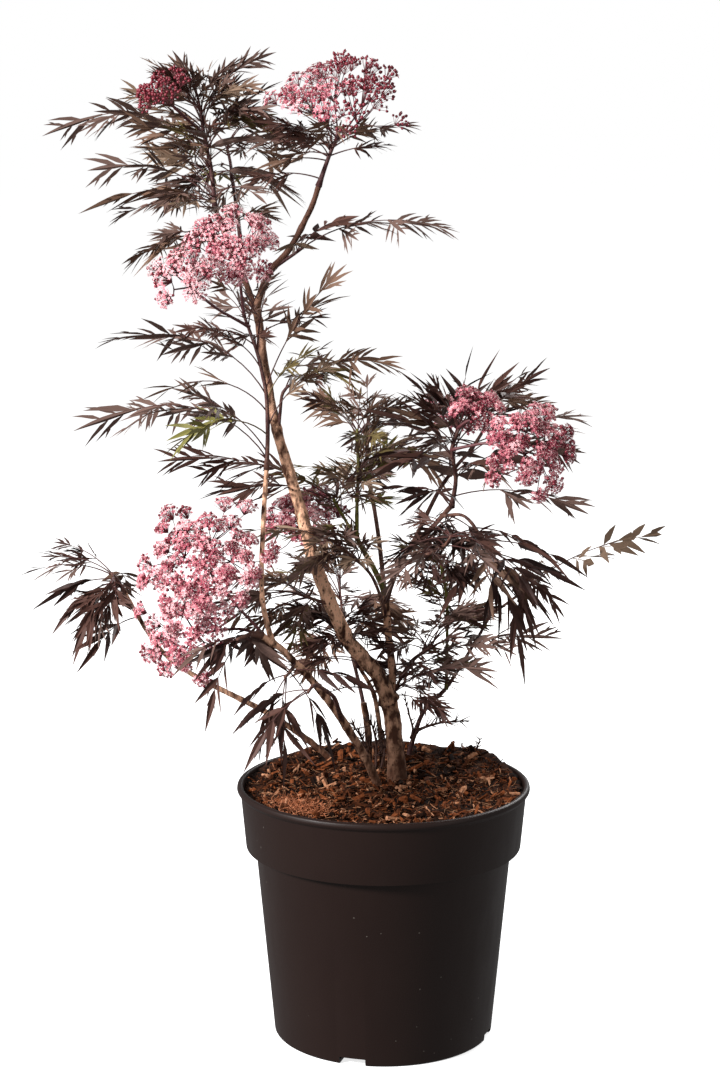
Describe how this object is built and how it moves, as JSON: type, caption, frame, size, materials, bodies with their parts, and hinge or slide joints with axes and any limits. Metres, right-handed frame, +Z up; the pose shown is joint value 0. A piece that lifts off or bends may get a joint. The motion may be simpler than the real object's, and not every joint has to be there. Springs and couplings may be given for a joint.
{
  "type": "potted black elder",
  "caption": "Young black elder shrub with lacy near-black leaves and pink flower heads, growing from bark mulch in a plain round nursery pot.",
  "frame": {"origin": "middle of the pot's flat underside, where the plant stands", "axes": "+Z up, +X to the right and -Y towards the viewer of the side that the picture shows"},
  "size_m": [0.508, 0.3482, 0.765],
  "materials": {
    "pot_plastic": "soft sheen, faint scuffs",
    "mulch": "rough shredded bark",
    "bark": "light tan bark with pale warts",
    "young_bark": "smooth dark red-brown shoot",
    "green_bark": "smooth olive green shoot",
    "leaf_black": "near-black purple leaf, soft sheen",
    "leaf_olive": "young olive leaf, soft sheen",
    "blossom_pink": "matte pink florets and crimson buds"
  },
  "bodies": {
    "root": {"pot": "pot_plastic", "soil": "mulch", "trunk": "bark", "main_stem": "bark", "second_stem": "bark", "upper_right_bough": "bark", "leader": "bark", "left_bough": "bark", "left_upright": "bark", "low_left_bough": "bark", "green_stem": "green_bark", "right_bough": "young_bark", "low_right_bough": "young_bark", "side_stem": "bark", "cut_stub": "bark", "back_top_bough": "young_bark", "back_middle_bough": "young_bark", "back_right_bough": "young_bark", "back_low_bough": "young_bark", "front_left_bough": "young_bark", "front_right_bough": "young_bark", "leaves_top_left": "leaf_black", "leaves_leader_left": "leaf_black", "leaves_top_right": "leaf_black", "leaves_right_arch": "leaf_black", "leaves_left_upright": "leaf_black", "leaves_middle_right": "leaf_black", "leaves_green_stem": "leaf_olive", "leaves_olive_arch": "leaf_olive", "leaves_middle_left": "leaf_black", "leaves_middle_low": "leaf_black", "leaves_right_crown": "leaf_black", "leaves_right_droop": "leaf_black", "leaves_far_right": "leaf_black", "leaves_low_right": "leaf_black", "leaves_right_upright": "leaf_black", "leaves_low_left": "leaf_black", "leaves_left_cluster": "leaf_black", "leaves_left_node": "leaf_black", "leaves_inner": "leaf_black", "leaves_back_top": "leaf_black", "leaves_back_middle": "leaf_black", "leaves_back_right": "leaf_black", "leaves_back_low": "leaf_black", "leaves_front_left": "leaf_black", "leaves_front_right": "leaf_black", "blossom_top_right": "blossom_pink", "blossom_top_left": "blossom_pink", "blossom_upper_left": "blossom_pink", "blossom_upper_left_low": "blossom_pink", "blossom_middle_left": "blossom_pink", "blossom_low_left": "blossom_pink", "blossom_inner": "blossom_pink", "blossom_right": "blossom_pink", "blossom_far_right": "blossom_pink", "blossom_back": "blossom_pink"}
  },
  "joints": []
}
